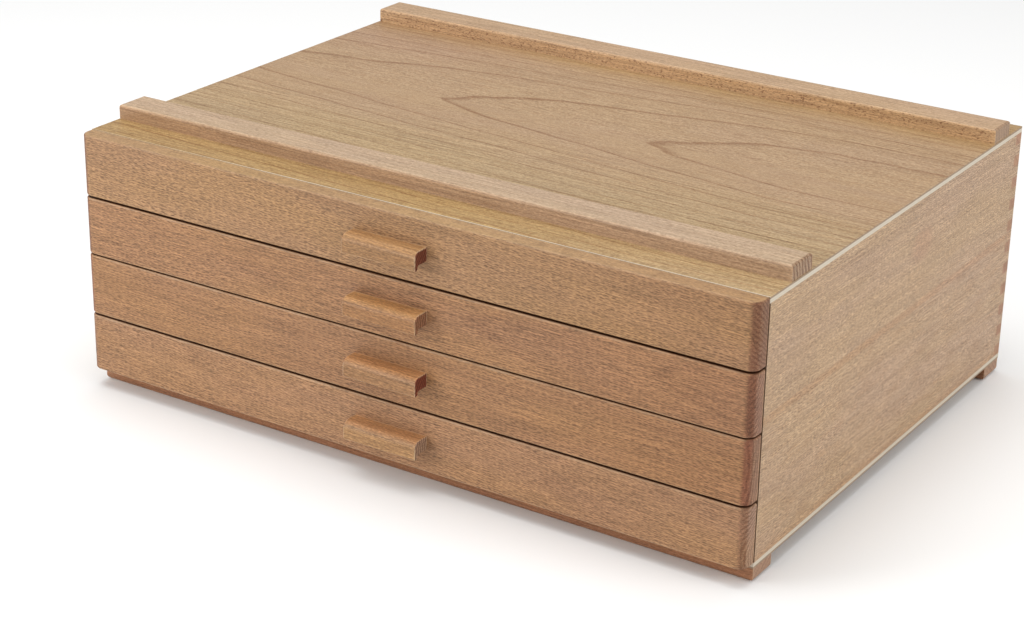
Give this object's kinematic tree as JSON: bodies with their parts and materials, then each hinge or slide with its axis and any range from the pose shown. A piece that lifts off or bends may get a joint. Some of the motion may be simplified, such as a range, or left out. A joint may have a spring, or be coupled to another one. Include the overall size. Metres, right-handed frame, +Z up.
{
  "type": "pencil drawer box",
  "caption": "Low wooden storage box with shallow full-width drawers, small lipped pulls, and rails above and below so that boxes stack.",
  "frame": {"origin": "on the floor, at the middle of the overall width and of the overall depth, pulls included", "axes": "+X to the right seen from the front, +Y from the drawer fronts to the back, +Z up"},
  "size_m": [0.4, 0.315, 0.1524],
  "materials": {
    "front_beech": "clear satin lacquer on solid beech",
    "pull_beech": "clear satin lacquer on solid beech",
    "case_beech": "clear satin lacquer on edge-glued beech",
    "rail_beech": "clear satin lacquer on solid beech",
    "panel_plywood": "beech-faced plywood with pale bare edges",
    "drawer_beech": "sanded beech",
    "screw_steel": "zinc-plated"
  },
  "bodies": {
    "case": {"top_panel": "panel_plywood", "bottom_panel": "panel_plywood", "left_side_panel": "case_beech", "right_side_panel": "case_beech", "back_panel": "case_beech", "front_top_batten": "rail_beech", "rear_top_batten": "rail_beech", "front_foot_rail": "rail_beech", "rear_foot_rail": "rail_beech", "top_batten_screws": "screw_steel", "foot_rail_screws": "screw_steel", "runner_pins": "screw_steel", "left_runner_1": "rail_beech", "left_runner_2": "rail_beech", "left_runner_3": "rail_beech", "right_runner_1": "rail_beech", "right_runner_2": "rail_beech", "right_runner_3": "rail_beech"},
    "drawer_1": {"drawer_1_front": "front_beech", "drawer_1_pull": "pull_beech", "drawer_1_pull_screws": "screw_steel", "drawer_1_left_side": "drawer_beech", "drawer_1_right_side": "drawer_beech", "drawer_1_back": "drawer_beech", "drawer_1_divider": "drawer_beech", "drawer_1_bottom": "panel_plywood"},
    "drawer_2": {"drawer_2_front": "front_beech", "drawer_2_pull": "pull_beech", "drawer_2_pull_screws": "screw_steel", "drawer_2_left_side": "drawer_beech", "drawer_2_right_side": "drawer_beech", "drawer_2_back": "drawer_beech", "drawer_2_divider": "drawer_beech", "drawer_2_bottom": "panel_plywood"},
    "drawer_3": {"drawer_3_front": "front_beech", "drawer_3_pull": "pull_beech", "drawer_3_pull_screws": "screw_steel", "drawer_3_left_side": "drawer_beech", "drawer_3_right_side": "drawer_beech", "drawer_3_back": "drawer_beech", "drawer_3_divider": "drawer_beech", "drawer_3_bottom": "panel_plywood"},
    "drawer_4": {"drawer_4_front": "front_beech", "drawer_4_pull": "pull_beech", "drawer_4_pull_screws": "screw_steel", "drawer_4_left_side": "drawer_beech", "drawer_4_right_side": "drawer_beech", "drawer_4_back": "drawer_beech", "drawer_4_divider": "drawer_beech", "drawer_4_bottom": "panel_plywood"}
  },
  "joints": [
    {"name": "drawer_1_slide", "type": "slide", "parent": "case", "child": "drawer_1", "axis": [0, -1, 0], "range_m": [0, 0.24]},
    {"name": "drawer_2_slide", "type": "slide", "parent": "case", "child": "drawer_2", "axis": [0, -1, 0], "range_m": [0, 0.24]},
    {"name": "drawer_3_slide", "type": "slide", "parent": "case", "child": "drawer_3", "axis": [0, -1, 0], "range_m": [0, 0.24]},
    {"name": "drawer_4_slide", "type": "slide", "parent": "case", "child": "drawer_4", "axis": [0, -1, 0], "range_m": [0, 0.24]}
  ]
}
